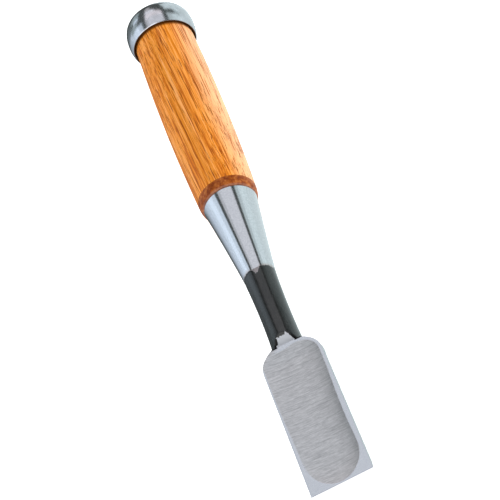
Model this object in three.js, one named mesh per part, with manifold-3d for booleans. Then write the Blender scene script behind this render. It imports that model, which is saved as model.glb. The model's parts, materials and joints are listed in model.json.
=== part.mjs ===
// A Japanese bench chisel (oire-nomi), lying at rest with its hollow-ground back up. Millimetres, +Z up.
//
// The tool is drawn in its own frame first: y runs along the handle from the cutting edge (y = 0) to the
// struck end, x runs across the blade, and z = 0 is the flat back, which faces up. Everything turned is
// centred on the handle axis, AXIS_DROP below the back. The last group then leans the tool back so that it
// lies on the heel of its bevel and on the front end of its handle.

import * as THREE from 'three';
import { mergeVertices } from 'three/addons/utils/BufferGeometryUtils.js';
import Module from 'manifold-3d';

const wasm = await Module();
wasm.setup();

// Blade
const BLADE_WIDTH = 24;
const ROOT_WIDTH = 22.9;
const BEVEL_ANGLE = THREE.MathUtils.degToRad(30);
const HEEL_THICKNESS = 4.4;
const ROOT_THICKNESS = 6.2;
const PLATE_THICKNESS = 1.8;
const SHOULDER_START = 59.5;
const SHOULDER_END = 69.5;
const SHOULDER_NECK_WIDTH = 11.2;
const SHOULDER_CORNER = 5;
const SHOULDER_SLOPE_RUN = 4.2;
const SHOULDER_SLOPE_RISE = 2.5;

// Side bevels on the front face
const SIDE_WALL = 2.9;
const SIDE_BEVEL_RUN = 5;
const SIDE_BEVEL_RISE = 4;

// Hollow in the back
const HOLLOW_DEPTH = 0.5;
const HOLLOW_SLOPE = 3;
const HOLLOW_HALF_WIDTH = 10.3;
const HOLLOW_FRONT = 0.8;
const HOLLOW_FRONT_ARC = 13.2;
const HOLLOW_REAR = 68.4;
const HOLLOW_REAR_ARC = 9;

// Neck, with the ground tongue that runs up its crest, and tang
const AXIS_DROP = 4;
const NECK_NOSE = 56;
const NECK_NOSE_RUN = 2;
const NECK_START = 66;
const NECK_END = 106.1;
const NECK_START_RADIUS = 6.1;
const NECK_WAIST_RADIUS = 5.54;
const NECK_END_RADIUS = 5.97;
const TONGUE_START = 69.8;
const TONGUE_LENGTH = 4.8;
const TONGUE_RISE = 2.1;
const TONGUE_EASE = 1;
const TONGUE_EASE_RISE = 0.1;
const NECK_DEPTH = 9.8;
const NECK_SWELL_LENGTH = 16;
const TANG_WIDTH = 6;
const TANG_TIP_WIDTH = 2.6;
const TANG_LENGTH = 59;

// Ferrule
const FERRULE_LENGTH = 38.1;
const FERRULE_MIDDLE_RADIUS = 7.8;
const FERRULE_MOUTH_RADIUS = 9.96;
const FERRULE_BORE_RADIUS = 4.6;
const FERRULE_MOUTH_BORE_RADIUS = 8.8;
const FERRULE_MOUTH_BEVEL = 0.3;

// Handle
const NOSE_SETBACK = 7;
const HANDLE_FRONT = 148.6;
const HANDLE_FRONT_RADIUS = 11;
const HANDLE_FRONT_LIP = 0.1;
const HANDLE_FRONT_BULGE = 0.6;
const HANDLE_MIDDLE_RADIUS = 11.8;
const HANDLE_REAR_RADIUS = 10.9;
const SEAT_END_RADIUS = 10.35;
const STRUCK_END_ROUNDING = 0.9;
const TOOL_LENGTH = 243;
const TANG_HOLE_SPARE = 2;

// Striking hoop
const HOOP_START = 231.3;
const HOOP_LENGTH = 10.7;
const HOOP_MOUTH_RADIUS = 12.15;
const HOOP_RADIUS = 12.73;
const HOOP_END_RADIUS = 11.44;
const HOOP_RIM = 0.3;
const HOOP_COUNTERSINK_RADIUS = 11.6;
const HOOP_COUNTERSINK_DEPTH = 0.8;
const HOOP_CROWN = 0.29;
const HOOP_FRONT_CURVE = 3;
const HOOP_REAR_CURVE = 2;

// Clearance between neighbouring pieces, how far a cutting shape reaches past what it cuts, and how far
// joined shapes run into each other
const GAP = 0.3;
const CUT_SPARE = 10;
const JOIN_OVERLAP = 1;

// Facets around a turned piece, and along a curve of its profile
const TURNED_SEGMENTS = 48;
const CURVE_SEGMENTS = 8;

const HEEL = HEEL_THICKNESS / Math.tan(BEVEL_ANGLE);
const FERRULE_START = NECK_END + GAP;
const FERRULE_END = FERRULE_START + FERRULE_LENGTH;
const HANDLE_NOSE = FERRULE_START + NOSE_SETBACK;

// The control radius that makes a quadratic curve pass through the radius wanted half-way along it.
function controlRadius(start, middle, end) {
  return 2 * middle - (start + end) / 2;
}

// A closed geometry as a solid, with shared vertices merged and collapsed triangles left out.
function toSolid(geometry) {
  geometry.deleteAttribute('normal');
  geometry.deleteAttribute('uv');
  const merged = mergeVertices(geometry, 1e-4);
  const corners = merged.index.array;
  const kept = [];
  for (let i = 0; i < corners.length; i += 3) {
    const [a, b, c] = corners.slice(i, i + 3);
    if (a !== b && b !== c && c !== a) {
      kept.push(a, b, c);
    }
  }
  const mesh = new wasm.Mesh({
    numProp: 3,
    vertProperties: new Float32Array(merged.attributes.position.array),
    triVerts: new Uint32Array(kept),
  });
  return new wasm.Manifold(mesh);
}

function toGeometry(solid) {
  const mesh = solid.getMesh();
  const geometry = new THREE.BufferGeometry();
  geometry.setAttribute('position', new THREE.BufferAttribute(mesh.vertProperties, 3));
  geometry.setIndex(new THREE.BufferAttribute(mesh.triVerts, 1));
  geometry.computeVertexNormals();
  return geometry;
}

// A profile of (radius, y) points turned about the handle axis.
function turned(profile) {
  const geometry = new THREE.LatheGeometry(profile.getPoints(CURVE_SEGMENTS), TURNED_SEGMENTS);
  return geometry.translate(0, 0, -AXIS_DROP);
}

// A shape drawn in plan, (x, y), extruded from the height low to the height high.
function planSolid(shape, low, high) {
  const geometry = new THREE.ExtrudeGeometry(shape, {
    depth: high - low,
    bevelEnabled: false,
    curveSegments: CURVE_SEGMENTS,
  });
  return toSolid(geometry.translate(0, 0, low));
}

// The blade seen from its back: straight sides and sloping, rounded shoulders.
function bladeOutline() {
  const tip = BLADE_WIDTH / 2;
  const root = ROOT_WIDTH / 2;
  const neck = SHOULDER_NECK_WIDTH / 2;
  const corner = SHOULDER_START + SHOULDER_CORNER;
  const slope = neck + SHOULDER_SLOPE_RUN;
  const rise = SHOULDER_END - SHOULDER_SLOPE_RISE;
  const shape = new THREE.Shape();
  shape.moveTo(-tip, 0);
  shape.lineTo(tip, 0);
  shape.lineTo(root, SHOULDER_START);
  shape.bezierCurveTo(root, corner, slope, rise, neck, SHOULDER_END);
  shape.lineTo(-neck, SHOULDER_END);
  shape.bezierCurveTo(-slope, rise, -root, corner, -root, SHOULDER_START);
  shape.closePath();
  return shape;
}

// The forging seen from its side, as (y, z): the bevel, the front face, the swell into the neck, and on top
// the flat back and the ramp of the tongue. It is taller than the neck behind them, so it cuts only there.
function forgingSide() {
  const clear = 2 * CUT_SPARE;
  const shape = new THREE.Shape();
  shape.moveTo(0, 0);
  shape.lineTo(HEEL, -HEEL_THICKNESS);
  shape.lineTo(SHOULDER_START, -ROOT_THICKNESS);
  shape.bezierCurveTo(
    SHOULDER_END, -ROOT_THICKNESS,
    SHOULDER_END, -NECK_DEPTH,
    SHOULDER_END + NECK_SWELL_LENGTH, -NECK_DEPTH,
  );
  shape.lineTo(NECK_END, -clear);
  shape.lineTo(NECK_END + clear, -clear);
  shape.lineTo(NECK_END + clear, clear);
  shape.lineTo(TONGUE_START + TONGUE_LENGTH, clear);
  shape.lineTo(TONGUE_START + TONGUE_LENGTH, TONGUE_RISE);
  shape.quadraticCurveTo(TONGUE_START + TONGUE_EASE, TONGUE_EASE_RISE, TONGUE_START, 0);
  shape.closePath();
  return shape;
}

function sideEnvelope() {
  const width = BLADE_WIDTH + CUT_SPARE;
  const geometry = new THREE.ExtrudeGeometry(forgingSide(), {
    depth: width,
    bevelEnabled: false,
    curveSegments: CURVE_SEGMENTS,
  });
  const alongY = new THREE.Vector3(0, 1, 0);
  const alongZ = new THREE.Vector3(0, 0, 1);
  const alongX = new THREE.Vector3(1, 0, 0);
  geometry.applyMatrix4(new THREE.Matrix4().makeBasis(alongY, alongZ, alongX));
  return toSolid(geometry.translate(-width / 2, 0, 0));
}

// A bar that planes one long corner off the front face. side is 1 for +x and -1 for -x.
function sideBevelCutter(side) {
  const reach = 3;
  const low = -SIDE_WALL - reach * SIDE_BEVEL_RISE;
  const shape = new THREE.Shape();
  shape.moveTo(0, -SIDE_WALL);
  shape.lineTo(-side * reach * SIDE_BEVEL_RUN, low);
  shape.lineTo(side * SIDE_BEVEL_RUN, low);
  shape.lineTo(side * SIDE_BEVEL_RUN, -SIDE_WALL);
  shape.closePath();
  const length = SHOULDER_END + CUT_SPARE;
  const geometry = new THREE.ExtrudeGeometry(shape, { depth: length, bevelEnabled: false });
  geometry.rotateX(Math.PI / 2);
  geometry.translate(0, SHOULDER_END, 0);
  geometry.rotateZ(side * Math.atan((BLADE_WIDTH - ROOT_WIDTH) / 2 / SHOULDER_START));
  return toSolid(geometry.translate(side * BLADE_WIDTH / 2, 0, 0));
}

// The dish of the hollow: a flat-bottomed outline whose walls slope up to the lands.
function hollowCutter() {
  const half = HOLLOW_HALF_WIDTH - HOLLOW_SLOPE;
  const frontArc = HOLLOW_FRONT_ARC - HOLLOW_SLOPE;
  const rearArc = HOLLOW_REAR_ARC - HOLLOW_SLOPE;
  const shape = new THREE.Shape();
  shape.absellipse(0, HOLLOW_FRONT + HOLLOW_FRONT_ARC, half, frontArc, Math.PI, 2 * Math.PI, false);
  shape.absellipse(0, HOLLOW_REAR - HOLLOW_REAR_ARC, half, rearArc, 0, Math.PI, false);
  shape.closePath();
  const geometry = new THREE.ExtrudeGeometry(shape, {
    depth: 1,
    bevelThickness: HOLLOW_DEPTH,
    bevelSize: HOLLOW_SLOPE,
    bevelSegments: 2,
    curveSegments: 2 * CURVE_SEGMENTS,
  });
  return toSolid(geometry);
}

function neckSolid() {
  const waist = controlRadius(NECK_START_RADIUS, NECK_WAIST_RADIUS, NECK_END_RADIUS);
  const profile = new THREE.Path();
  profile.moveTo(0, NECK_NOSE);
  profile.quadraticCurveTo(
    NECK_START_RADIUS, NECK_NOSE + NECK_NOSE_RUN,
    NECK_START_RADIUS, NECK_START,
  );
  profile.quadraticCurveTo(waist, (NECK_START + NECK_END) / 2, NECK_END_RADIUS, NECK_END);
  profile.lineTo(0, NECK_END);
  return toSolid(turned(profile));
}

// A square taper along the handle axis; slack widens and lengthens it into the hole it sits in.
function tangSolid(start, slack, spare) {
  const length = NECK_END + TANG_LENGTH + spare - start;
  const tip = (TANG_TIP_WIDTH / 2 + slack) * Math.SQRT2;
  const root = (TANG_WIDTH / 2 + slack) * Math.SQRT2;
  const geometry = new THREE.CylinderGeometry(tip, root, length, 4);
  geometry.rotateY(Math.PI / 4);
  return toSolid(geometry.translate(0, start + length / 2, -AXIS_DROP));
}

// The soft-iron forging: blade body, shoulders, round neck and tang, with a step under the steel plate.
function bladeBody() {
  const step = -PLATE_THICKNESS - GAP;
  const slab = planSolid(bladeOutline(), -ROOT_THICKNESS - 2 * JOIN_OVERLAP, step);
  const room = SHOULDER_END + GAP;
  const plateRoom = new THREE.BoxGeometry(BLADE_WIDTH + CUT_SPARE, room, CUT_SPARE);
  plateRoom.translate(0, room / 2, step + CUT_SPARE / 2);
  const forging = slab
    .add(neckSolid())
    .intersect(sideEnvelope())
    .subtract(sideBevelCutter(1))
    .subtract(sideBevelCutter(-1))
    .subtract(toSolid(plateRoom));
  return toGeometry(forging.add(tangSolid(NECK_END - JOIN_OVERLAP, 0, 0)));
}

// The hard steel plate forge-welded to the back: it carries the cutting edge, the lands and the hollow.
function steelPlate() {
  const plate = planSolid(bladeOutline(), -PLATE_THICKNESS, 0);
  return toGeometry(plate.intersect(sideEnvelope()).subtract(hollowCutter()));
}

function ferrule() {
  const middle = controlRadius(NECK_END_RADIUS, FERRULE_MIDDLE_RADIUS, FERRULE_MOUTH_RADIUS);
  const profile = new THREE.Path();
  profile.moveTo(FERRULE_BORE_RADIUS, FERRULE_START);
  profile.lineTo(NECK_END_RADIUS, FERRULE_START);
  profile.quadraticCurveTo(
    middle, (FERRULE_START + FERRULE_END) / 2,
    FERRULE_MOUTH_RADIUS, FERRULE_END - FERRULE_MOUTH_BEVEL,
  );
  profile.lineTo(FERRULE_MOUTH_RADIUS - FERRULE_MOUTH_BEVEL, FERRULE_END);
  profile.lineTo(FERRULE_MOUTH_BORE_RADIUS, FERRULE_END);
  profile.lineTo(FERRULE_BORE_RADIUS, FERRULE_START);
  return turned(profile);
}

// The ferrule's bore radius at a distance y along the tool.
function ferruleBore(y) {
  const fraction = (y - FERRULE_START) / FERRULE_LENGTH;
  return THREE.MathUtils.lerp(FERRULE_BORE_RADIUS, FERRULE_MOUTH_BORE_RADIUS, fraction);
}

// The handle's outline: a cone inside the ferrule, a rounded front end, a long barrel, a seat for the hoop
// and a flat struck end.
function handleProfile() {
  const front = FERRULE_END + GAP;
  const middle = controlRadius(HANDLE_FRONT_RADIUS, HANDLE_MIDDLE_RADIUS, HANDLE_REAR_RADIUS);
  const rounded = SEAT_END_RADIUS - STRUCK_END_ROUNDING;
  const profile = new THREE.Path();
  profile.moveTo(0, HANDLE_NOSE);
  profile.lineTo(ferruleBore(HANDLE_NOSE) - GAP, HANDLE_NOSE);
  profile.lineTo(ferruleBore(FERRULE_END) - GAP, front);
  profile.lineTo(FERRULE_MOUTH_RADIUS - HANDLE_FRONT_LIP, front);
  profile.quadraticCurveTo(
    HANDLE_FRONT_RADIUS - HANDLE_FRONT_LIP, front + HANDLE_FRONT_BULGE,
    HANDLE_FRONT_RADIUS, HANDLE_FRONT,
  );
  profile.quadraticCurveTo(middle, (HANDLE_FRONT + HOOP_START) / 2, HANDLE_REAR_RADIUS, HOOP_START);
  profile.lineTo(SEAT_END_RADIUS, TOOL_LENGTH - STRUCK_END_ROUNDING);
  profile.quadraticCurveTo(SEAT_END_RADIUS, TOOL_LENGTH, rounded, TOOL_LENGTH);
  profile.lineTo(0, TOOL_LENGTH);
  return profile;
}

function handle() {
  const hole = tangSolid(HANDLE_NOSE - JOIN_OVERLAP, GAP, TANG_HOLE_SPARE);
  return toGeometry(toSolid(turned(handleProfile())).subtract(hole));
}

// The hoop: a bore that fits the handle's seat, a countersunk mouth, a small rim and a barrel outside.
function hoop() {
  const end = HOOP_START + HOOP_LENGTH;
  const rim = HOOP_START + HOOP_RIM;
  const crown = HOOP_RADIUS + HOOP_CROWN;
  const profile = new THREE.Path();
  profile.moveTo(SEAT_END_RADIUS + GAP, end);
  profile.lineTo(HANDLE_REAR_RADIUS + GAP, HOOP_START + HOOP_COUNTERSINK_DEPTH);
  profile.lineTo(HOOP_COUNTERSINK_RADIUS, HOOP_START);
  profile.lineTo(HOOP_MOUTH_RADIUS - HOOP_RIM, HOOP_START);
  profile.quadraticCurveTo(HOOP_MOUTH_RADIUS, HOOP_START, HOOP_MOUTH_RADIUS, rim);
  profile.bezierCurveTo(
    crown, HOOP_START + HOOP_FRONT_CURVE,
    crown, end - HOOP_REAR_CURVE,
    HOOP_END_RADIUS, end,
  );
  profile.lineTo(SEAT_END_RADIUS + GAP, end);
  return turned(profile);
}

const FORGED_IRON = { color: 0x2d3232, roughness: 0.6, metalness: 0.8 };
const TOOL_STEEL = { color: 0xb4b7bd, roughness: 0.4, metalness: 0.9 };
const SATIN_STEEL = { color: 0xa9afb8, roughness: 0.35, metalness: 0.9 };
const OAK = { color: 0xe2933f, roughness: 0.45, metalness: 0 };
const POLISHED_STEEL = { color: 0x8f979f, roughness: 0.25, metalness: 0.9 };

function piece(name, geometry, look) {
  const mesh = new THREE.Mesh(geometry, new THREE.MeshStandardMaterial(look));
  mesh.name = name;
  return mesh;
}

// How far the tool leans to lie on the heel of its bevel and on its handle: the steepest of the lines from
// the heel to the handle's underside.
function restLean() {
  const slopes = handleProfile()
    .getPoints(CURVE_SEGMENTS)
    .map((point) => Math.atan2(AXIS_DROP + point.x - HEEL_THICKNESS, point.y - HEEL));
  return Math.max(...slopes);
}

const tool = new THREE.Group();
tool.add(
  piece('blade_body', bladeBody(), FORGED_IRON),
  piece('steel_plate', steelPlate(), TOOL_STEEL),
  piece('ferrule', ferrule(), SATIN_STEEL),
  piece('handle', handle(), OAK),
  piece('striking_hoop', hoop(), POLISHED_STEEL),
);
tool.rotation.x = restLean();

// The origin is on the bench, under the middle of the tool.
const bounds = new THREE.Box3().setFromObject(tool, true);
tool.position.x = -(bounds.min.x + bounds.max.x) / 2;
tool.position.y = -(bounds.min.y + bounds.max.y) / 2;
tool.position.z = -bounds.min.z;

const chisel = new THREE.Group();
chisel.add(tool);

export default chisel;
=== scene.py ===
# A Japanese bench chisel, back up, on a pale floor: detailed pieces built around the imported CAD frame.
#
# Meshes are drawn in millimetres in the tool's own frame: y runs from the cutting edge to the struck end,
# x runs across the blade, and z = 0 is the flat back, facing up. tool_matrix() places that frame in metres.

import json
import math

import bmesh
import bpy
import numpy as np
from mathutils import Matrix, Vector, noise
from mathutils.bvhtree import BVHTree

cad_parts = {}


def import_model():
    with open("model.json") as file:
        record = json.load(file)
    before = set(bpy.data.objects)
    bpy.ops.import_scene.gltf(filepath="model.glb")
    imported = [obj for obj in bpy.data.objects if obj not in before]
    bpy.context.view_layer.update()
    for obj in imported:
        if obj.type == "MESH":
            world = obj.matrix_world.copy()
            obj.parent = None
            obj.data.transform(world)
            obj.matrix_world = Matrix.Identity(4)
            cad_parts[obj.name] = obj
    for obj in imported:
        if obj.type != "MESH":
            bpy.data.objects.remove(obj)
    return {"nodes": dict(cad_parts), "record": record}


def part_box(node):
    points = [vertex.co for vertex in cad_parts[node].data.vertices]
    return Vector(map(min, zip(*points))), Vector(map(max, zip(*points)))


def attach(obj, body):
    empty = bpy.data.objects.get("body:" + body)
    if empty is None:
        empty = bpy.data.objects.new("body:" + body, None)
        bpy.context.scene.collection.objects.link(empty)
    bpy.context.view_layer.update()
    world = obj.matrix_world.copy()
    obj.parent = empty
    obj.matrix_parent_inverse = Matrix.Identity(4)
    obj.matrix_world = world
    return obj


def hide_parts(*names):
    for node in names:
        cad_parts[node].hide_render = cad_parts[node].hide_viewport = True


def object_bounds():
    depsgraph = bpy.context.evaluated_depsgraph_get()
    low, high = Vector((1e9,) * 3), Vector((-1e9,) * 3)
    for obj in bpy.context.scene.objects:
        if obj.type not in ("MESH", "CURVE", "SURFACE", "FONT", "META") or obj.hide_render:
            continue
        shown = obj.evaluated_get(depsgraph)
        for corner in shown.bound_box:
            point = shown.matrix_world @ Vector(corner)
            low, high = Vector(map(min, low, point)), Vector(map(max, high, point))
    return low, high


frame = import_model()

CAD_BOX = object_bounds()
MM = 0.001

# ---------------------------------------------------------------- places, from the CAD frame

MOUNTS = {mount["name"]: mount for mount in frame["record"]["mounts"]}
NODES = ("steel_plate", "blade_body", "ferrule", "handle", "striking_hoop")


def tool_matrix():
    """The tool's frame in the row. Its origin is the middle of the cutting edge, on the flat back."""
    along = Vector(MOUNTS["struck_end"]["axis"])
    up = Vector(MOUNTS["back_land"]["axis"])
    on_back = Vector(MOUNTS["back_land"]["pos_m"])
    origin = on_back + along * (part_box("steel_plate")[0].y - on_back.y) / along.y
    origin.x = 0
    turn = Matrix((along.cross(up), along, up)).transposed()
    return Matrix.Translation(origin) @ turn.to_4x4()


TOOL = tool_matrix()


def tool_points(node):
    """A CAD node's corners in the tool's frame, in millimetres."""
    back = TOOL.inverted()
    return [back @ vertex.co / MM for vertex in frame["nodes"][node].data.vertices]


def node_tree(node):
    """The CAD node as a tree that rays can be cast at."""
    polygons = [tuple(face.vertices) for face in frame["nodes"][node].data.polygons]
    return BVHTree.FromPolygons(tool_points(node), polygons)


POINTS = {node: np.array([tuple(point) for point in tool_points(node)]) for node in NODES}
TREES = {node: node_tree(node) for node in NODES}
AXIS_DROP = -(TOOL.inverted() @ Vector(MOUNTS["struck_end"]["pos_m"])).z / MM
# rays at a node's outside start here, well clear of every node
FAR = 60
ON_AXIS = 1e-6


def reach(node):
    """Where a CAD node starts and ends along the tool."""
    return POINTS[node][:, 1].min(), POINTS[node][:, 1].max()


def outer_radius(node, y):
    """The CAD node's outside radius about the handle's axis."""
    hit = TREES[node].ray_cast(Vector((FAR, y, -AXIS_DROP)), Vector((-1, 0, 0)))
    return hit[0].x


def inner_radius(node, y):
    """The radius of the CAD node's bore."""
    hit = TREES[node].ray_cast(Vector((0, y, -AXIS_DROP)), Vector((1, 0, 0)))
    return hit[0].x


# how far a surface keeps off its neighbour's, and a ray off a node's end
CLOSE = 0.05
PLATE_END = reach("steel_plate")[1]
FERRULE_START, FERRULE_END = reach("ferrule")
HANDLE_NOSE, TOOL_END = reach("handle")
HOOP_START, HOOP_END = reach("striking_hoop")
TANG_END = reach("blade_body")[1]
PLATE_DEPTH = -POINTS["steel_plate"][:, 2].min()
EDGE_HALF = POINTS["steel_plate"][:, 0].max()
NECK_END = FERRULE_START - CLOSE

# ---------------------------------------------------------------- the blade's driving sizes

# depths are below the flat back, and halves are half widths
BEVEL_SLOPE = math.tan(math.radians(30))
HEEL_DEPTH = 4.4
ROOT_DEPTH = 6.2
HEEL = HEEL_DEPTH / BEVEL_SLOPE
SHOULDER = PLATE_END - 10
SHOULDER_HALF = 11.45
SHOULDER_CORNER = (SHOULDER_HALF, PLATE_END - 5)
SHOULDER_SLOPE = (9.8, PLATE_END - 2.5)
SHOULDER_NECK = 5.6
SIDE_WALL = 2.9
SIDE_BEVEL = 5 / 4
SWELL_START = SHOULDER - 3
SWELL_END = PLATE_END + 15
NECK_START = PLATE_END + 0.5
NECK_DEPTH = 9.8
NECK_EDGE = 0.12
NECK_EDGE_SLOPE = 0.04
TANG_ROOT_SIDE = 6
TANG_TIP_SIDE = 2.6
TANG_TIP_SHARE = 0.6
TONGUE_RUN = 5.2
TONGUE_RISE = 2.15
ARRIS = 0.12
EDGE_THICKNESS = 0.006
FORGED_SWELL = 0.07
FORGED_RIPPLE = 0.02

# the hollow is an oval at the front and a squarer one at the rear, with straight sides between
HOLLOW_DEPTH = 0.68
HOLLOW_POWER = 2.6
HOLLOW_HALF = 10.3
HOLLOW_FRONT = 14
HOLLOW_FRONT_RUN = 13.25
HOLLOW_REAR = PLATE_END - 10
HOLLOW_REAR_RUN = 8.9
HOLLOW_REAR_POWER = 2.5
HOLLOW_LEFT_WIDENING = 0.7
HOLLOW_RIGHT_WAIST = 0.38
HOLLOW_RIGHT_WIDENING = 0.5

# the hollow fades out around the tongue's foot, between these distances from it
TONGUE_FOOT = (-1.2, PLATE_END + 1.5)
TONGUE_FADE = (2.5, 9)

# ---------------------------------------------------------------- curves and meshes


def smooth(value, low, high):
    """0 below low, 1 above high, and an S curve between them."""
    part = min(max((value - low) / (high - low), 0), 1)
    return part * part * (3 - 2 * part)


def through(start, middle, end, count):
    """Points on the quadratic curve that passes through middle at its half."""
    start, middle, end = Vector(start), Vector(middle), Vector(end)
    control = 2 * middle - (start + end) / 2
    return [quadratic(start, control, end, step / (count - 1)) for step in range(count)]


def quadratic(start, control, end, part):
    """A point on the quadratic curve with these three control points."""
    return start * (1 - part) ** 2 + control * 2 * part * (1 - part) + end * part ** 2


def cubic(corners, part):
    """A point on the cubic curve with these four control points."""
    weights = ((1 - part) ** 3, 3 * part * (1 - part) ** 2, 3 * part ** 2 * (1 - part), part ** 3)
    return [sum(weight * corner[axis] for weight, corner in zip(weights, corners)) for axis in (0, 1)]


def rounded(corners, steps=5):
    """The path through the corners, each given as (y, radius, size of its rounding)."""
    path = []
    for index, (y, r, size) in enumerate(corners):
        here = Vector((y, r))
        if size == 0 or index in (0, len(corners) - 1):
            path.append(here)
            continue
        before = Vector(corners[index - 1][:2])
        after = Vector(corners[index + 1][:2])
        start = here + (before - here).normalized() * size
        end = here + (after - here).normalized() * size
        path += [quadratic(start, here, end, step / steps) for step in range(steps + 1)]
    return path


def plain(path):
    """Curve points as corners with no rounding of their own."""
    return [(point[0], point[1], 0) for point in path]


def turned(path, segments=224):
    """A closed surface of revolution about the handle's axis, where a path may start and end."""
    vertices = []
    rings = []
    for y, r in path:
        if r < ON_AXIS:
            rings.append([len(vertices)] * segments)
            vertices.append((0, y, -AXIS_DROP))
            continue
        rings.append(list(range(len(vertices), len(vertices) + segments)))
        for index in range(segments):
            angle = 2 * math.pi * index / segments
            vertices.append((r * math.sin(angle), y, r * math.cos(angle) - AXIS_DROP))
    if path[0][1] > ON_AXIS:
        rings.append(rings[0])
    return vertices, bridge(rings)


def bridge(rings):
    """Quads between each pair of neighbouring rings, and triangles where a ring is one point."""
    faces = []
    for near, far in zip(rings, rings[1:]):
        for index in range(len(near)):
            after = (index + 1) % len(near)
            corners = (near[index], near[after], far[after], far[index])
            face = list(dict.fromkeys(corners))
            if len(face) > 2:
                faces.append(face)
    return faces


def lofted(loops):
    """A solid through closed loops that all have the same number of points, capped at both ends."""
    size = len(loops[0])
    vertices = [point for loop in loops for point in loop]
    rings = [list(range(row * size, row * size + size)) for row in range(len(loops))]
    faces = bridge(rings)
    faces.append(rings[0][::-1])
    faces.append(rings[-1])
    return vertices, faces


def make_piece(name, node, shape, material, sharp=32):
    """A piece from a shape in the tool's frame. It stands for the CAD node, which it hides, and takes the
    given material.
    """
    vertices, faces = shape
    mesh = bpy.data.meshes.new(name)
    mesh.from_pydata([TOOL @ (Vector(vertex) * MM) for vertex in vertices], [], faces)
    mesh.validate()
    mesh.shade_smooth()
    mesh.set_sharp_from_angle(angle=math.radians(sharp))
    mesh.materials.append(material)
    piece = bpy.data.objects.new(name, mesh)
    bpy.context.scene.collection.objects.link(piece)
    outwards(piece)
    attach(piece, "root")
    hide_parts(node)


def outwards(piece):
    """Turns every face's normal to the outside."""
    mesh = bmesh.new()
    mesh.from_mesh(piece.data)
    bmesh.ops.remove_doubles(mesh, verts=mesh.verts, dist=1e-8)
    bmesh.ops.recalc_face_normals(mesh, faces=mesh.faces)
    mesh.to_mesh(piece.data)
    mesh.free()


# ---------------------------------------------------------------- the turned pieces


FERRULE_BEVEL = 0.4
FERRULE_BEVEL_ROUNDING = 0.1


def ferrule_shape():
    """A tapered steel socket with a thin bevelled mouth, bored for the handle's cone."""
    start, end = FERRULE_START, FERRULE_END
    middle = (start + end) / 2
    outer = through(
        (start, outer_radius("ferrule", start + CLOSE)),
        (middle, outer_radius("ferrule", middle)),
        (end, outer_radius("ferrule", end - 0.3) + 0.03),
        40,
    )
    mouth = outer[-1][1] - 0.02
    bore_start = inner_radius("ferrule", start + 1)
    bore_end = inner_radius("ferrule", end - 1)
    outer = [point for point in outer if start + 0.2 < point[0] < end - 0.5]
    corners = [(start, bore_start, 0), (start, outer_radius("ferrule", start + CLOSE) - 0.04, 0.03)]
    corners += plain(outer)
    corners += [(end - FERRULE_BEVEL, mouth, FERRULE_BEVEL_ROUNDING)]
    corners += [(end, mouth - FERRULE_BEVEL, FERRULE_BEVEL_ROUNDING)]
    corners += [(end, bore_end, FERRULE_BEVEL_ROUNDING), (end - 2, bore_end - 0.15, 0)]
    return turned(rounded(corners))


# where the handle's rounded front end meets the grip
HANDLE_FRONT = 148.6
HOLE_SPARE = 2
HOLE_TIP_RADIUS = 2.0
HOLE_MOUTH_RADIUS = 4.35


def handle_shape():
    """The oak grip: a cone in the ferrule, a rounded front end, the swelling grip and the hoop's seat."""
    cone_end = FERRULE_END - 0.1
    cone_radius = inner_radius("ferrule", FERRULE_END - 1) - CLOSE
    nose_radius = inner_radius("ferrule", HANDLE_NOSE + 1) - 2 * CLOSE
    front = FERRULE_END + CLOSE
    ring = outer_radius("handle", HANDLE_FRONT)
    lip = Vector((front, outer_radius("ferrule", FERRULE_END - 1) - 0.1))
    nose_curve = [
        quadratic(lip, Vector((front + 0.3, ring - 0.15)), Vector((HANDLE_FRONT, ring)), step / 16)
        for step in range(17)
    ]
    middle = (HANDLE_FRONT + HOOP_START) / 2
    grip = through(
        (HANDLE_FRONT, ring),
        (middle, outer_radius("handle", middle)),
        (HOOP_START, outer_radius("handle", HOOP_START - 0.2)),
        90,
    )
    seat = HOOP_END - 1
    seat_radius = outer_radius("handle", seat)
    hole_end = TANG_END + HOLE_SPARE
    corners = [(hole_end, 0, 0), (hole_end, HOLE_TIP_RADIUS, 0), (HANDLE_NOSE, HOLE_MOUTH_RADIUS, 0)]
    corners += [(HANDLE_NOSE, nose_radius, 0.2), (cone_end, cone_radius, 0), (front, cone_radius, 0)]
    corners += plain(nose_curve)
    corners += plain(grip[1:])
    corners += [(seat, seat_radius, 0), (TOOL_END - 0.35, seat_radius - 0.1, 0.3)]
    corners += [(TOOL_END - 0.03, seat_radius - 1.1, 0.5), (TOOL_END, 0, 0)]
    return turned(rounded(corners))


HOOP_RIM = 0.3
HOOP_CROWN = 0.28
HOOP_FRONT_CURVE = 3
HOOP_REAR_CURVE = 2
HOOP_COUNTERSINK = 0.8
HOOP_BORE_START = 2.2


def hoop_shape():
    """The struck end's steel hoop: a barrel outside, and a countersunk mouth where the wood enters."""
    start, end = HOOP_START, HOOP_END
    crown = POINTS["striking_hoop"][:, 0].max() + HOOP_CROWN
    mouth = outer_radius("striking_hoop", start + HOOP_RIM + CLOSE) - 0.04
    rear = outer_radius("striking_hoop", end - CLOSE)
    barrel = (
        (start + HOOP_RIM, mouth),
        (start + HOOP_FRONT_CURVE, crown),
        (end - HOOP_REAR_CURVE, crown),
        (end - 0.1, rear),
    )
    bore = outer_radius("handle", start - 0.2) + CLOSE
    rear_bore = outer_radius("handle", end - 1) + CLOSE
    lip = inner_radius("striking_hoop", start + CLOSE)
    corners = [(start + HOOP_BORE_START, bore, 0), (start + HOOP_COUNTERSINK, bore, 0.1)]
    corners += [(start, lip + 0.04, 0.06), (start, mouth - HOOP_RIM / 2, 0.1)]
    corners += plain([cubic(barrel, step / 30) for step in range(31)])
    corners += [(end, rear - 0.2, 0.12), (end - 0.15, rear_bore + 0.2, 0.15), (end - 0.6, rear_bore, 0)]
    return turned(rounded(corners))


# ---------------------------------------------------------------- the blade


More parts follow.
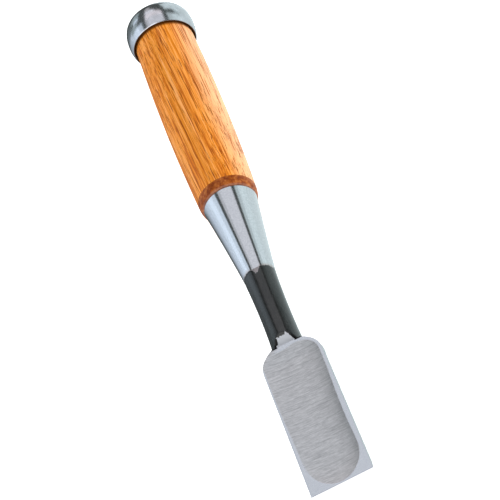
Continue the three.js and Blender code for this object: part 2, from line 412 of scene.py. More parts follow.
def outline(y):
    """Half the blade's width: nearly straight sides, then the round shoulder down to the neck."""
    if y <= SHOULDER:
        return EDGE_HALF + (SHOULDER_HALF - EDGE_HALF) * y / SHOULDER
    low, high = 0.0, 1.0
    for _ in range(40):
        part = (low + high) / 2
        if shoulder_point(part)[1] < y:
            low = part
        else:
            high = part
    return shoulder_point((low + high) / 2)[0]


def shoulder_point(part):
    """A point on the cubic that rounds the shoulder."""
    ends = (SHOULDER_HALF, SHOULDER), (SHOULDER_NECK, PLATE_END)
    return cubic((ends[0], SHOULDER_CORNER, SHOULDER_SLOPE, ends[1]), part)


def hollow_depth(x, y):
    """How far the ground hollow lies below the flat back. It comes closest to the left edge."""
    left = HOLLOW_HALF + HOLLOW_LEFT_WIDENING * smooth(y, 18, 55)
    right = HOLLOW_HALF - HOLLOW_RIGHT_WAIST * smooth(y, 14, 27)
    right += HOLLOW_RIGHT_WIDENING * smooth(y, 32, 56)
    side = x / right if x > 0 else -x / left
    if y < HOLLOW_FRONT:
        rim = math.hypot(side, (HOLLOW_FRONT - y) / HOLLOW_FRONT_RUN)
    elif y < HOLLOW_REAR:
        rim = side
    else:
        rear = (y - HOLLOW_REAR) / HOLLOW_REAR_RUN
        power = HOLLOW_REAR_POWER
        rim = (side ** power + rear ** power) ** (1 / power)
    depth = HOLLOW_DEPTH * max(1 - rim ** HOLLOW_POWER, 0)
    foot_x, foot_y = TONGUE_FOOT
    return depth * smooth(math.hypot(x - foot_x, y - foot_y), *TONGUE_FADE)


PLATE_COLUMNS = 97
PLATE_ROWS = 250
PLATE_UNDER_STEPS = 12


def plate_loop(y):
    """One slice across the tool steel: the hollow back, two arrises, and the face below."""
    half = outline(y)
    arris = min(ARRIS, 0.3 * y)
    under = -min(PLATE_DEPTH, max(y * BEVEL_SLOPE, EDGE_THICKNESS))
    top = []
    for column in range(PLATE_COLUMNS):
        x = (half - arris) * (2 * column / (PLATE_COLUMNS - 1) - 1)
        top.append((x, y, -hollow_depth(x, y)))
    drop = max(-arris, under * 0.6)
    loop = [(-half, y, drop)] + top + [(half, y, drop)]
    for column in range(PLATE_UNDER_STEPS + 1):
        loop.append((half * (1 - 2 * column / PLATE_UNDER_STEPS), y, under))
    return loop


def plate_shape():
    """The tool steel, with one slice exactly where the bevel leaves it."""
    rows = [PLATE_END * row / (PLATE_ROWS - 1) for row in range(PLATE_ROWS)]
    rows += [PLATE_DEPTH / BEVEL_SLOPE]
    return lofted([plate_loop(y) for y in sorted(rows)])


def neck_radius(y):
    """The neck's radius: a curve through the CAD's at the shoulder, the waist and the ferrule."""
    places = (NECK_START, (PLATE_END + NECK_END) / 2, NECK_END)
    radius = 0
    for here in places:
        share = outer_radius("blade_body", here - 0.4)
        for other in places:
            if other != here:
                share *= (y - other) / (here - other)
        radius += share
    return radius


def front_depth(y):
    """How far the front lies below the back where the blade's body swells into the neck."""
    swell = (NECK_DEPTH - ROOT_DEPTH) * smooth(y, SHOULDER, SWELL_END)
    return min(ROOT_DEPTH + swell, AXIS_DROP + neck_radius(y))


# the slice's corners, from the top's middle to the front's middle: how many points lead to each, and the
# angle about the axis that the corner has where the forging has become a round neck
SLICE_STEPS = (30, 4, 12, 16)
SLICE_ANGLES = (90, 21, 2, -48, -90)


def slice_places():
    """Each point of a half slice: the leg it is on, how far along that leg, and its angle when round."""
    last = len(SLICE_STEPS) - 1
    for leg, steps in enumerate(SLICE_STEPS):
        start, end = SLICE_ANGLES[leg:leg + 2]
        for step in range(steps + (leg == last)):
            part = step / steps
            yield leg, part, math.radians(start + (end - start) * part)


def blade_corners(y, half):
    """The flat part's slice for x >= 0: top, side wall, side bevel and front."""
    depth = min(HEEL_DEPTH + (ROOT_DEPTH - HEEL_DEPTH) * smooth(y, HEEL, PLATE_END), y * BEVEL_SLOPE)
    depth = max(depth, PLATE_DEPTH + 0.01)
    wall = min(SIDE_WALL, depth)
    inner = 1 - max(depth - SIDE_WALL, 0) * SIDE_BEVEL / half
    top = -PLATE_DEPTH
    return ((0, top), (1, top), (1, -wall), (inner, -depth), (0, -depth))


def forging_half(y):
    """The points of the right half of one slice of the forging."""
    blend = smooth(y, SWELL_START, NECK_START)
    on_plate = y <= PLATE_END
    half = outline(y) if on_plate else neck_radius(y)
    radius = neck_radius(max(y, PLATE_END))
    below = front_depth(y) - AXIS_DROP
    corner_share = 1 + (math.cos(math.radians(SLICE_ANGLES[1])) - 1) * blend
    width = half / corner_share if on_plate else half
    corners = blade_corners(min(y, PLATE_END), half)
    ramp = TONGUE_RISE * max((y - PLATE_END) / TONGUE_RUN, 0) ** 1.1
    points = []
    for leg, part, angle in slice_places():
        (start_x, start_z), (end_x, end_z) = corners[leg:leg + 2]
        flat_x = start_x + (end_x - start_x) * part
        flat_z = start_z + (end_z - start_z) * part
        lift = radius if angle > 0 else below
        round_z = lift * math.sin(angle) - AXIS_DROP
        x = (flat_x + (math.cos(angle) - flat_x) * blend) * width
        z = flat_z + (round_z - flat_z) * blend
        if leg == 0:
            z = -PLATE_DEPTH if on_plate else min(round_z, ramp)
        points.append((x, z))
    return points


def tang_half(y):
    """The tang's half slice: a square that tapers to its end."""
    part = (y - NECK_END) / (TANG_END - NECK_END)
    side = (TANG_ROOT_SIDE + (TANG_TIP_SIDE - TANG_ROOT_SIDE) * part) / 2
    points = []
    for _, _, angle in slice_places():
        stretch = side / max(abs(math.cos(angle)), abs(math.sin(angle)))
        points.append((max(stretch * math.cos(angle), 0), stretch * math.sin(angle) - AXIS_DROP))
    return points


def shrunk(half, share):
    """A half slice, scaled about the handle's axis."""
    return [(x * share, (z + AXIS_DROP) * share - AXIS_DROP) for x, z in half]


def forged(x, y, z):
    """Moves a point by the small unevenness that a hammered surface keeps."""
    place = Vector((x * 0.22, y * 0.07, z * 0.22))
    swell = noise.noise(place) * FORGED_SWELL + noise.noise(place * 3.1) * FORGED_RIPPLE
    fade = smooth(y, PLATE_END + 1, PLATE_END + 8) * (1 - smooth(y, NECK_END - 4, NECK_END - 0.5))
    away = Vector((x, 0, z + AXIS_DROP)).normalized() * swell * fade
    return (x + away.x, y, z + away.z)


def even(x, y, z):
    """Leaves a point where it is, for the parts that are cut true."""
    return (x, y, z)


def whole_loop(half, y, move=forged):
    """A closed slice from its right half, with each point moved as the surface there needs."""
    left = [(-x, z) for x, z in half[1:-1]][::-1]
    return [move(x, y, z) for x, z in half + left]


def forging_shape():
    """The iron: bevel, body with side bevels, the swell into the round neck, and the tang."""
    first = PLATE_DEPTH / BEVEL_SLOPE + 0.02
    rows = list(np.linspace(first, HEEL, 12))
    rows += list(np.arange(HEEL + 1, SWELL_START, 1.5))
    rows += list(np.arange(SWELL_START, PLATE_END, 0.4))
    rows += [PLATE_END, PLATE_END + 0.02]
    rows += list(np.arange(PLATE_END + 0.25, PLATE_END + 7, 0.25))
    rows += list(np.arange(PLATE_END + 7.5, NECK_END - 0.3, 0.8))
    loops = [whole_loop(forging_half(y), y) for y in rows]
    for inset in (NECK_EDGE, 0.05, 0.0):
        y = NECK_END - inset
        half = shrunk(forging_half(y), 1 - (NECK_EDGE - inset) * NECK_EDGE_SLOPE)
        loops.append(whole_loop(half, y, even))
    for y in np.linspace(NECK_END + 0.001, TANG_END - 1, 8):
        loops.append(whole_loop(tang_half(y), y, even))
    tip = shrunk(tang_half(TANG_END), TANG_TIP_SHARE)
    loops.append(whole_loop(tip, TANG_END, even))
    return lofted(loops)


# ---------------------------------------------------------------- materials


class Graph:
    """A node tree, with a short call for each kind of node used here."""

    def __init__(self, tree):
        self.tree = tree

    def node(self, kind):
        return self.tree.nodes.new(kind)

    def feed(self, socket, value):
        if isinstance(value, bpy.types.NodeSocket):
            self.tree.links.new(value, socket)
        else:
            socket.default_value = value

    def vector(self, operation, first, second):
        node = self.node("ShaderNodeVectorMath")
        node.operation = operation
        self.feed(node.inputs[0], first)
        self.feed(node.inputs[1], second)
        return node.outputs[0]

    def split(self, vector):
        node = self.node("ShaderNodeSeparateXYZ")
        self.feed(node.inputs[0], vector)
        return node.outputs[0], node.outputs[1], node.outputs[2]

    def join(self, x, y, z):
        node = self.node("ShaderNodeCombineXYZ")
        for socket, value in zip(node.inputs, (x, y, z)):
            self.feed(socket, value)
        return node.outputs[0]

    def math(self, operation, first, second=0.0, third=0.0):
        node = self.node("ShaderNodeMath")
        node.operation = operation
        for socket, value in zip(node.inputs, (first, second, third)):
            self.feed(socket, value)
        return node.outputs[0]

    def product(self, *values):
        result = values[0]
        for value in values[1:]:
            result = self.math("MULTIPLY", result, value)
        return result

    def step(self, value, low, high, start=0.0, end=1.0):
        """An S curve from start, where value is low, to end, where it is high."""
        node = self.node("ShaderNodeMapRange")
        node.interpolation_type = "SMOOTHSTEP"
        self.feed(node.inputs["Value"], value)
        for name, number in (("From Min", low), ("From Max", high), ("To Min", start), ("To Max", end)):
            node.inputs[name].default_value = number
        return node.outputs["Result"]

    def mix(self, share, first, second):
        node = self.node("ShaderNodeMix")
        node.data_type = "RGBA"
        self.feed(node.inputs["Factor"], share)
        sockets = [socket for socket in node.inputs if socket.type == "RGBA"]
        for socket, value in zip(sockets, (first, second)):
            self.feed(socket, value)
        return [socket for socket in node.outputs if socket.type == "RGBA"][0]

    def ramp(self, value, stops):
        node = self.node("ShaderNodeValToRGB")
        self.feed(node.inputs["Fac"], value)
        elements = node.color_ramp.elements
        while len(elements) < len(stops):
            elements.new(0.5)
        for element, (place, shade) in zip(elements, stops):
            element.position = place
            element.color = shade
        return node.outputs["Color"]


class Surface(Graph):
    """A new material's nodes. place, x, y and z are in millimetres in the tool's frame."""

    def __init__(self, name):
        self.material = bpy.data.materials.new(name)
        self.material.use_nodes = True
        super().__init__(self.material.node_tree)
        self.shader = self.tree.nodes["Principled BSDF"]
        mapping = self.node("ShaderNodeMapping")
        back = TOOL.inverted()
        mapping.inputs["Scale"].default_value = (1 / MM, 1 / MM, 1 / MM)
        mapping.inputs["Rotation"].default_value = back.to_euler()
        mapping.inputs["Location"].default_value = back.translation / MM
        self.feed(mapping.inputs["Vector"], self.node("ShaderNodeTexCoord").outputs["Object"])
        self.place = mapping.outputs["Vector"]
        self.x, self.y, self.z = self.split(self.place)

    def set(self, name, value):
        self.feed(self.shader.inputs[name], value)

    def noise(self, stretch, detail=2.0, roughness=0.5, place=None):
        """Noise from 0 to 1 over the place in millimetres, stretched by a factor along each axis."""
        node = self.node("ShaderNodeTexNoise")
        self.feed(node.inputs["Vector"], self.vector("MULTIPLY", place or self.place, stretch))
        node.inputs["Scale"].default_value = 1.0
        node.inputs["Detail"].default_value = detail
        node.inputs["Roughness"].default_value = roughness
        return node.outputs["Fac"]

    def bump(self, height, distance, strength):
        """A bump whose height, from 0 to 1, stands for distance millimetres."""
        node = self.node("ShaderNodeBump")
        node.inputs["Strength"].default_value = strength
        node.inputs["Distance"].default_value = distance * MM
        self.feed(node.inputs["Height"], height)
        self.set("Normal", node.outputs["Normal"])

    def radius(self):
        """The distance from the handle's axis."""
        up = self.math("ADD", self.z, AXIS_DROP)
        return self.math("SQRT", self.math("ADD", self.product(self.x, self.x), self.product(up, up)))


def colour(red, green, blue):
    return (red, green, blue, 1.0)


def torn(g):
    """Fine noise from -0.5 to 0.5, which makes the tongue's outline and the scale's ragged."""
    return g.math("SUBTRACT", g.noise((1.3, 1.1, 1.3), detail=3.0, roughness=0.75), 0.5)


# the grain leans off the handle's axis, and the tree's middle lies outside the handle, low on the left
GRAIN_SLOPE = math.tan(math.radians(3))
RING_WIDTH = 2.3
PITH_X = -60
PITH_Z = -36


def growth_rings(g, grain):
    """The soft early part of each ring: 1 there, 0 in the hard late wood."""
    side, _, height = g.split(grain)
    out_x = g.math("SUBTRACT", side, PITH_X)
    out_z = g.math("SUBTRACT", height, PITH_Z)
    far = g.math("SQRT", g.math("ADD", g.product(out_x, out_x), g.product(out_z, out_z)))
    fray = g.product(g.noise((1.1, 0.035, 1.1), place=grain), 1.5)
    phase = g.math("FRACT", g.math("DIVIDE", g.math("ADD", far, fray), RING_WIDTH))
    return g.product(g.step(phase, 0.0, 0.08), g.step(phase, 0.62, 0.25))


def open_pores(g, grain, early):
    """Short dark pores along the grain, more of them in the early wood."""
    need = g.math("MULTIPLY_ADD", early, -0.05, 0.64)
    wide = g.noise((2.6, 0.07, 2.6), detail=1.5, place=grain)
    fine = g.noise((6.0, 0.16, 6.0), roughness=0.6, place=grain)
    pore_wide = g.step(g.math("SUBTRACT", wide, need), -0.01, 0.05, 0.0, 0.9)
    pore_fine = g.step(g.math("SUBTRACT", fine, need), -0.02, 0.05, 0.0, 0.7)
    return g.math("MAXIMUM", pore_wide, pore_fine)


def oak():
    """Lacquered red oak: growth rings, open pores along the grain, paler wood on the right that is partly
    painted light, dark ends, and painted shade by the hoop.
    """
    g = Surface("lacquered_oak")
    wander = g.math("SUBTRACT", g.noise((0.06, 0.014, 0.06), detail=1.0), 0.5)
    side = g.math("MULTIPLY_ADD", g.y, GRAIN_SLOPE, g.x)
    side = g.math("MULTIPLY_ADD", wander, 2.2, side)
    grain = g.join(side, g.y, g.z)
    early = growth_rings(g, grain)

    band = g.noise((0.42, 0.010, 0.42), detail=2.0, place=grain)
    streak_place = g.vector("ADD", grain, (7.0, 40.0, 3.0))
    streak = g.noise((1.5, 0.028, 1.5), detail=3.0, roughness=0.6, place=streak_place)
    fibre = g.noise((3.6, 0.060, 3.6), detail=4.0, roughness=0.65, place=grain)
    tone = g.math("ADD", g.product(band, 0.30), g.product(streak, 0.32))
    tone = g.math("MULTIPLY_ADD", fibre, 0.38, tone)
    tone = g.math("MULTIPLY_ADD", early, -0.03, tone)
    wood = g.ramp(tone, [
        (0.39, colour(0.52, 0.118, 0.001)),
        (0.455, colour(0.68, 0.20, 0.009)),
        (0.51, colour(0.79, 0.28, 0.038)),
        (0.62, colour(0.88, 0.38, 0.11)),
    ])
    # Paler wood over the right side: partly sapwood, and partly painted light for the strong light that
    # falls on that side.
    sapwood_and_lit_side = g.step(g.math("MULTIPLY_ADD", wander, 6.0, g.x), 3.5, 12.0, 0.0, 0.8)
    wood = g.mix(sapwood_and_lit_side, wood, colour(0.84, 0.49, 0.26))
    vein_place = g.vector("ADD", grain, (31.0, 17.0, 5.0))
    vein = g.noise((1.9, 0.030, 1.9), detail=1.5, place=vein_place)
    wood = g.mix(g.step(vein, 0.57, 0.64, 0.0, 0.85), wood, colour(0.42, 0.085, 0.001))
    pore = open_pores(g, grain, early)
    wood = g.mix(pore, wood, colour(0.22, 0.045, 0.002))

    wood = g.mix(g.step(g.y, HANDLE_FRONT + 0.06, HANDLE_FRONT - 0.06), wood, front_stain(g))
    end_tone = g.mix(g.math("MULTIPLY_ADD", early, 0.5, 0.15), colour(0.42, 0.15, 0.035),
                     colour(0.20, 0.06, 0.012))
    end_tone = g.mix(pore, end_tone, colour(0.07, 0.02, 0.006))
    wood = g.mix(g.step(g.y, TOOL_END - 0.6, TOOL_END - 0.2), wood, end_tone)
    # Painted shade with some dark residue: the wood darkens over the last 1.5 mm before the hoop's mouth,
    # and stays dark under the hoop short of the end grain.
    hoop_shade_and_residue = g.step(g.y, HOOP_START - 1.5, HOOP_START, 0.0, 0.92)
    hoop_shade_and_residue = g.product(hoop_shade_and_residue, g.step(g.y, TOOL_END - 0.8, TOOL_END - 1.4))
    g.set("Base Color", g.mix(hoop_shade_and_residue, wood, colour(0.09, 0.024, 0.003)))

    g.set("Roughness", g.math("MULTIPLY_ADD", pore, 0.3, 0.42))
    g.set("Specular IOR Level", 0.1)
    g.set("Coat Weight", 0.14)
    g.set("Coat Roughness", 0.25)
    g.bump(g.math("SUBTRACT", g.product(fibre, 0.35), pore), 0.03, 0.5)
    return g.material


def front_stain(g):
    """The handle's front end: blotchy dark stain, turning greyer where it meets the ferrule."""
    blotch = g.noise((0.6, 0.6, 0.6), detail=4.0, roughness=0.7)
    stain = g.ramp(blotch, [
        (0.34, colour(0.14, 0.022, 0.001)),
        (0.50, colour(0.26, 0.055, 0.004)),
        (0.66, colour(0.42, 0.13, 0.025)),
    ])
    greyer_by_ferrule = g.step(g.y, FERRULE_END + 0.9, FERRULE_END + 0.1, 0.0, 0.35)
    return g.mix(greyer_by_ferrule, stain, colour(0.24, 0.17, 0.15))


def above_blacking(g):
    """How far a point lies past the ragged line where the neck's blacking stops. Bare metal dips on top."""
    ragged = g.math("SUBTRACT", g.noise((1.1, 0.5, 1.1), detail=4.0, roughness=0.65), 0.5)
    beside = g.math("ABSOLUTE", g.math("SUBTRACT", g.x, 0.2))
    dip = g.product(g.step(beside, 1.9, 0.3, 0.0, 2.6), g.step(g.z, -2.0, 0.0))
    line = g.math("SUBTRACT", FERRULE_START + 0.35, dip)
    return g.math("SUBTRACT", g.math("MULTIPLY_ADD", ragged, 2.2, g.y), line)


def satin_steel():
    """The ferrule: satin drawn steel, finely mottled, with the neck's blacking lapped over its edge."""
    g = Surface("satin_steel_socket")
    speckle = g.noise((2.4, 1.8, 2.4), detail=4.0, roughness=0.7)
    cloud = g.noise((0.25, 0.12, 0.25), detail=3.0)
    base = g.ramp(speckle, [(0.32, colour(0.47, 0.475, 0.49)), (0.68, colour(0.63, 0.64, 0.66))])
    base = g.mix(g.product(cloud, 0.35), base, colour(0.50, 0.48, 0.52))
    past = above_blacking(g)
    base = g.mix(g.step(past, 1.3, 0.1, 0.0, 0.5), base, colour(0.34, 0.24, 0.20))
    lap = g.step(past, 0.15, -0.15)
    g.set("Base Color", g.mix(lap, base, colour(0.012, 0.014, 0.014)))
    g.set("Metallic", g.math("SUBTRACT", 1.0, lap))
    g.set("Roughness", g.math("MULTIPLY_ADD", speckle, 0.10, 0.09))
    drawn = g.noise((1.4, 0.10, 1.4), detail=3.0, roughness=0.6)
    g.bump(g.math("MULTIPLY_ADD", speckle, 0.6, drawn), 0.003, 0.6)
    return g.material


def polished_steel():
    """The hoop: polished steel with faint turning lines, and painted shade in its countersunk mouth."""
    g = Surface("polished_steel_hoop")
    turning = g.noise((0.15, 9.0, 0.15), detail=3.0, roughness=0.6)
    smear = g.noise((0.4, 0.3, 0.4), detail=4.0, roughness=0.6)
    base = g.ramp(smear, [(0.3, colour(0.46, 0.46, 0.48)), (0.7, colour(0.56, 0.56, 0.59))])
    # Painted shade: the countersunk mouth, inside about 11.9 mm radius and over its first 3 to 4 mm, is
    # dark brown and not metallic, for the shadow between hoop and wood.
    mouth_painted_shade = g.step(g.radius(), 11.95, 11.8)
    mouth_painted_shade = g.product(mouth_painted_shade, g.step(g.y, HOOP_START + 4, HOOP_START + 3))
    g.set("Base Color", g.mix(mouth_painted_shade, base, colour(0.045, 0.016, 0.003)))
    g.set("Metallic", g.math("SUBTRACT", 1.0, mouth_painted_shade))
    g.set("Roughness", g.math("MULTIPLY_ADD", smear, 0.03, 0.17))
    g.bump(turning, 0.001, 0.4)
    return g.material


def tongue_reach(g, tooth):
    """How far a point lies inside the ground tongue: a ragged root, and a point right of the middle."""
    past = g.math("MULTIPLY_ADD", tooth, -1.3, g.math("SUBTRACT", g.y, PLATE_END))
    across = g.math("ABSOLUTE", g.math("MULTIPLY_ADD", tooth, 1.1, g.x))
    root = g.math("SUBTRACT", g.step(past, 0.1, 1.5, 3.5, 2.3), across)
    root = g.math("MINIMUM", root, g.math("SUBTRACT", 3.0, past))
    beside = g.math("ABSOLUTE", g.math("SUBTRACT", g.x, 1.5))
    point = g.math("SUBTRACT", g.product(g.math("SUBTRACT", 4.0, past), 0.5), beside)
    return g.math("MAXIMUM", root, point)


def forged_iron():
    """Black forge scale on the neck and front, bright ground iron on the bevels, the ragged tongue, and
    painted shadow beside it.
    """
    g = Surface("forged_iron_body")
    coarse = g.noise((0.9, 0.35, 0.9), detail=4.0, roughness=0.6)
    grit = g.noise((4.0, 2.2, 4.0), detail=3.0, roughness=0.65)
    skin = g.math("MULTIPLY_ADD", grit, 0.5, g.product(coarse, 0.5))
    scale = g.ramp(skin, [(0.36, colour(0.002, 0.003, 0.003)), (0.66, colour(0.017, 0.017, 0.016))])

    inside = tongue_reach(g, torn(g))
    upper = g.step(g.z, -1.6, -1.2)
    tongue = g.product(g.step(inside, -0.08, 0.1), upper)
    # Painted shadow: beside the tongue's root the near-black scale is made metallic, which darkens it
    # further, for the shaded walls there.
    painted_shadow_by_tongue = g.product(g.step(inside, -2.0, -0.3), upper, g.step(g.y, PLATE_END + 4.0, PLATE_END + 1.0))

    beside = g.math("SUBTRACT", g.math("ABSOLUTE", g.x), flat_half(g))
    bevelled = g.product(g.step(beside, -0.05, 0.05), g.step(g.y, SHOULDER + 6, SHOULDER + 1))
    edge = g.step(g.y, HEEL + 0.05, HEEL - 0.05)
    bare = g.step(above_blacking(g), -0.15, 0.15)
    ground = g.math("MAXIMUM", g.math("MAXIMUM", bevelled, edge), g.math("MAXIMUM", tongue, bare))
    lines = g.noise((0.12, 4.5, 0.12), detail=3.0, roughness=0.6)
    bright = g.ramp(lines, [(0.3, colour(0.38, 0.38, 0.40)), (0.7, colour(0.56, 0.57, 0.60))])
    bright = g.mix(tongue, bright, colour(0.42, 0.43, 0.46))
    bright = g.mix(g.product(bare, 0.8), bright, colour(0.25, 0.215, 0.21))
    g.set("Base Color", g.mix(ground, scale, bright))
    g.set("Metallic", g.math("MAXIMUM", ground, painted_shadow_by_tongue))
    rough_scale = g.math("MULTIPLY_ADD", coarse, 0.12, 0.15)
    rough_more = g.math("MULTIPLY_ADD", lines, 0.08, 0.09)
    g.set("Roughness", g.math("MULTIPLY_ADD", ground, rough_more, rough_scale))
    g.bump(g.product(skin, g.math("MULTIPLY_ADD", ground, -0.85, 1.0)), 0.03, 0.6)
    return g.material


def flat_half(g):
    """Half the width of the front's flat, between the side bevels, as a node value."""
    return g.step(g.y, HEEL, PLATE_END, EDGE_HALF - (HEEL_DEPTH - SIDE_WALL) * SIDE_BEVEL,
                  SHOULDER_HALF - (ROOT_DEPTH - SIDE_WALL) * SIDE_BEVEL)


def forge_scale(g):
    """The scale left at the back's end, on both sides of the tongue."""
    past = g.math("MULTIPLY_ADD", torn(g), 0.9, g.math("SUBTRACT", g.y, PLATE_END))
    return g.product(g.step(past, -0.6, -0.4), g.step(g.math("ABSOLUTE", g.x), 3.3, 3.5))


def tool_steel():
    """The back: lapped flat lands, and a duller hollow whose finish overruns its rim on the left."""
    g = Surface("tool_steel_back")
    lean = g.math("MULTIPLY_ADD", g.x, 0.06, g.y)
    bow = g.product(g.noise((0.04, 0.03, 0.04), detail=0.0), 0.5)
    across = g.join(g.x, g.math("ADD", lean, bow), g.z)
    lines = g.noise((0.45, 3.2, 0.1), detail=4.0, roughness=0.85, place=across)
    broad = g.noise((0.16, 1.1, 0.1), detail=3.0, roughness=0.7, place=across)
    lapped = g.noise((0.5, 6.0, 0.5), detail=2.0)
    soft = g.step(g.x, 3.0, -6.0, 1.0, 0.3)
    hollow = g.step(g.product(g.z, soft), -0.004, -0.022)
    taper = (SHOULDER_HALF - EDGE_HALF) / SHOULDER
    from_edge = g.math("ADD", g.x, g.math("MULTIPLY_ADD", g.y, taper, EDGE_HALF))
    inside = g.math("SUBTRACT", from_edge, g.step(g.y, 15.0, 50.0, 1.45, 0.6))
    overrun = g.product(g.step(g.x, -2.0, -7.0), g.step(g.y, 9.0, 18.0), g.step(inside, -0.2, 0.2))
    hollow = g.product(g.math("MAXIMUM", hollow, overrun), g.step(g.z, -1.2, -1.0))
    tone = g.math("MULTIPLY_ADD", broad, 0.38, g.product(lines, 0.62))
    dull = g.ramp(tone, [(0.38, colour(0.345, 0.342, 0.345)), (0.62, colour(0.585, 0.582, 0.585))])
    mark_place = g.vector("ADD", across, (9.0, 4.0, 0.0))
    mark = g.noise((0.11, 2.2, 0.1), detail=0.0, place=mark_place)
    dull = g.mix(g.step(mark, 0.63, 0.72, 0.0, 0.5), dull, colour(0.26, 0.26, 0.265))
    fresh = g.ramp(lapped, [(0.3, colour(0.50, 0.515, 0.55)), (0.7, colour(0.55, 0.565, 0.59))])
    base = g.mix(hollow, fresh, dull)
    g.set("Base Color", g.mix(forge_scale(g), base, colour(0.004, 0.004, 0.004)))
    g.set("Metallic", 1.0)
    rough = g.math("MULTIPLY_ADD", hollow, 0.10, 0.16)
    g.set("Roughness", g.math("MULTIPLY_ADD", tone, 0.08, rough))
    g.bump(g.product(lines, g.math("MULTIPLY_ADD", hollow, 0.85, 0.15)), 0.02, 0.5)
    return g.material


# ---------------------------------------------------------------- stage, light and camera

# sizes here are in metres, and angles in degrees
FLOOR_SIZE = 8.0
FLOOR_GLOW = 0.75
ARCH_RADIUS = 0.6
ARCH_CENTRE = 7.1


def floor():
    """A plain pale floor, part lit and part glowing. Metal mirrors the low surroundings instead."""
    half = FLOOR_SIZE / 2
    mesh = bpy.data.meshes.new("floor")
    corners = [(-half, -half, 0), (half, -half, 0), (half, half, 0), (-half, half, 0)]
    mesh.from_pydata(corners, [], [(0, 1, 2, 3)])
    sheet = bpy.data.objects.new("floor", mesh)
    bpy.context.scene.collection.objects.link(sheet)
    g = Surface("pale_floor")
    paper = g.noise((0.02, 0.02, 0.02))
    g.set("Base Color", g.mix(paper, colour(0.86, 0.86, 0.86), colour(0.9, 0.9, 0.9)))
    g.set("Roughness", 0.9)
    g.set("Emission Color", colour(1, 1, 1))
    g.set("Emission Strength", FLOOR_GLOW)
    mesh.materials.append(g.material)
    sheet.visible_glossy = False


def area_light(name, place, target, size, radiance, tint):
    """A rectangular soft light of the given radiance, facing the target."""
    light = bpy.data.lights.new(name, "AREA")
    light.shape = "RECTANGLE"
    light.size, light.size_y = size
    light.energy = radiance * math.pi * size[0] * size[1]
    light.color = tint
    holder = bpy.data.objects.new(name, light)
    bpy.context.scene.collection.objects.link(holder)
    holder.location = place
    away = (Vector(place) - Vector(target)).normalized()
    side = Vector((0, 1, 0)).cross(away).normalized()
    turn = Matrix((side, away.cross(side), away)).transposed()
    holder.rotation_euler = turn.to_euler()
    holder.visible_camera = False
    return holder


def arch_panel(name, angles, run, radiance, tint):
    """A soft panel on an arch over the tool. Its angles are to the right of the arch's centre."""
    low, high = angles
    start, end = run
    turn = math.radians(ARCH_CENTRE + (low + high) / 2)
    width = 2 * ARCH_RADIUS * math.tan(math.radians((high - low) / 2))
    middle = (start + end) / 2
    place = (ARCH_RADIUS * math.sin(turn), middle, ARCH_RADIUS * math.cos(turn))
    area_light(name, place, (0, middle, 0), (width, end - start), radiance, tint)


LAVENDER = (0.91, 0.93, 1.0)
ROSE = (1.0, 0.94, 0.98)
ICE = (0.75, 0.87, 1.0)
SEA = (0.78, 0.97, 1.0)
MINT = (0.83, 0.97, 1.0)
DAYLIGHT = (0.97, 0.98, 1.0)

# Runs of y. The ferrule and the blade mirror the near run, and the neck the middle one. The hoop mirrors
# them all, from the near run at its mouth to the far ones at its end.
NEAR = (-0.02, 0.50)
MIDDLE = (0.50, 0.69)
FAR_LOW = (0.69, 0.85)
FAR_HIGH = (0.85, 1.6)

# The lowest panels end where the surroundings' bright low part begins.
LOWEST_LEFT = -94
LOWEST_RIGHT = 80


def lights():
    """The panels that the metal mirrors, then a key that it doesn't and a broad fill that it does."""
    arch_panel("near_centre_left", (-30, -20), NEAR, 0.72, LAVENDER)
    arch_panel("near_centre", (-20, 25), NEAR, 0.97, LAVENDER)
    arch_panel("near_left_inner", (-58, -42), NEAR, 1.15, ICE)
    arch_panel("near_left", (-80, -58), NEAR, 1.5, ICE)
    arch_panel("near_left_low", (LOWEST_LEFT, -80), NEAR, 1.2, ICE)
    arch_panel("near_right_inner", (37, 50), NEAR, 0.8, MINT)
    arch_panel("near_right", (50, LOWEST_RIGHT), NEAR, 1.1, MINT)
    arch_panel("middle_centre", (-27, 25), MIDDLE, 1.15, ROSE)
    arch_panel("middle_left", (LOWEST_LEFT, -60), MIDDLE, 0.45, SEA)
    arch_panel("middle_right", (63, LOWEST_RIGHT), MIDDLE, 0.6, SEA)
    arch_panel("far_centre", (-25, 6), FAR_LOW, 1.5, LAVENDER)
    arch_panel("far_left", (-78, -54), FAR_LOW, 1.25, ICE)
    arch_panel("far_right", (38, LOWEST_RIGHT), FAR_LOW, 1.05, MINT)
    arch_panel("high_centre", (-25, -6), FAR_HIGH, 0.55, ROSE)
    arch_panel("high_left", (LOWEST_LEFT, -54), FAR_HIGH, 0.5, SEA)
    arch_panel("high_right", (38, LOWEST_RIGHT), FAR_HIGH, 1.0, MINT)
    key = area_light("key", (1.5, -0.2, 0.30), (0, 0.05, 0), (0.6, 1.0), 10.0, DAYLIGHT)
    key.visible_glossy = False
    area_light("fill", (-0.7, -1.5, 1.5), (0, 0.05, 0), (3.2, 3.2), 1.85, (1.0, 1.0, 1.0))


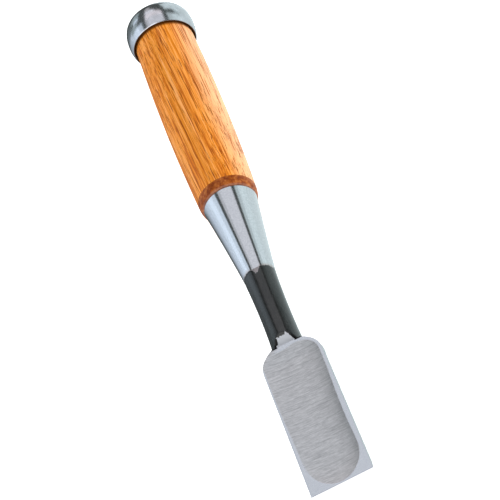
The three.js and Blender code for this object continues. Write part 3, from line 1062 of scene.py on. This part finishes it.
def world():
    """Dim surroundings, brighter low down on both sides, and a white wall for the camera alone."""
    surroundings = bpy.data.worlds.new("studio")
    bpy.context.scene.world = surroundings
    surroundings.use_nodes = True
    g = Graph(surroundings.node_tree)
    g.tree.nodes.clear()
    x, y, z = g.split(g.node("ShaderNodeTexCoord").outputs["Generated"])
    low = g.step(z, 0.03, 0.01)
    right = g.product(low, g.step(x, -0.05, 0.15))
    left = g.product(low, g.step(x, -0.3, -0.8))
    light = g.mix(right, colour(0.10, 0.115, 0.11), colour(0.95, 1.10, 1.12))
    left_light = g.mix(g.step(z, -0.05, -0.42), colour(0.88, 1.02, 1.17), colour(0.56, 0.64, 0.73))
    left_light = g.mix(g.step(y, 0.64, 0.665), left_light, colour(0.25, 0.30, 0.31))
    light = g.mix(left, light, left_light)
    dim = g.node("ShaderNodeBackground")
    g.feed(dim.inputs["Color"], light)
    wall = g.node("ShaderNodeBackground")
    wall.inputs["Color"].default_value = colour(1, 1, 1)
    choose = g.node("ShaderNodeMixShader")
    g.feed(choose.inputs[0], g.node("ShaderNodeLightPath").outputs["Is Camera Ray"])
    g.feed(choose.inputs[1], dim.outputs[0])
    g.feed(choose.inputs[2], wall.outputs[0])
    g.feed(g.node("ShaderNodeOutputWorld").inputs[0], choose.outputs[0])


# fitted to the photo together with the tool's outline, for a camera about 2.5 m from the cutting edge
CAMERA_AZIMUTH = math.radians(6.659)
CAMERA_ELEVATION = math.radians(42.806)
CAMERA_ROLL = math.radians(31.216)
CAMERA_DISTANCE = 2.59015
CAMERA_LENS = 522.25
AIM_OFFSET = (-0.000167, 0.003132, -0.010165)


def camera():
    """A long lens above the cutting edge, rolled so that the tool leans across the picture."""
    aim = (Vector(CAD_BOX[0]) + Vector(CAD_BOX[1])) / 2 + Vector(AIM_OFFSET)
    level = math.cos(CAMERA_ELEVATION)
    away = Vector((
        math.sin(CAMERA_AZIMUTH) * level,
        -math.cos(CAMERA_AZIMUTH) * level,
        math.sin(CAMERA_ELEVATION),
    ))
    right = Vector((0, 0, 1)).cross(away).normalized()
    turn = Matrix((right, away.cross(right), away)).transposed()
    turn = turn @ Matrix.Rotation(-CAMERA_ROLL, 3, "Z")
    lens = bpy.data.cameras.new("camera")
    lens.lens = CAMERA_LENS
    lens.clip_start = 0.1
    lens.clip_end = 30
    holder = bpy.data.objects.new("camera", lens)
    bpy.context.scene.collection.objects.link(holder)
    holder.matrix_world = Matrix.Translation(aim + away * CAMERA_DISTANCE) @ turn.to_4x4()
    bpy.context.scene.camera = holder


# ---------------------------------------------------------------- the scene

camera()
world()
lights()
floor()
make_piece("tool_steel_back", "steel_plate", plate_shape(), tool_steel(), sharp=24)
make_piece("forged_body", "blade_body", forging_shape(), forged_iron(), sharp=38)
make_piece("socket_ferrule", "ferrule", ferrule_shape(), satin_steel())
make_piece("oak_handle", "handle", handle_shape(), oak())
make_piece("hoop", "striking_hoop", hoop_shape(), polished_steel())
bpy.context.scene.view_settings.view_transform = "Standard"
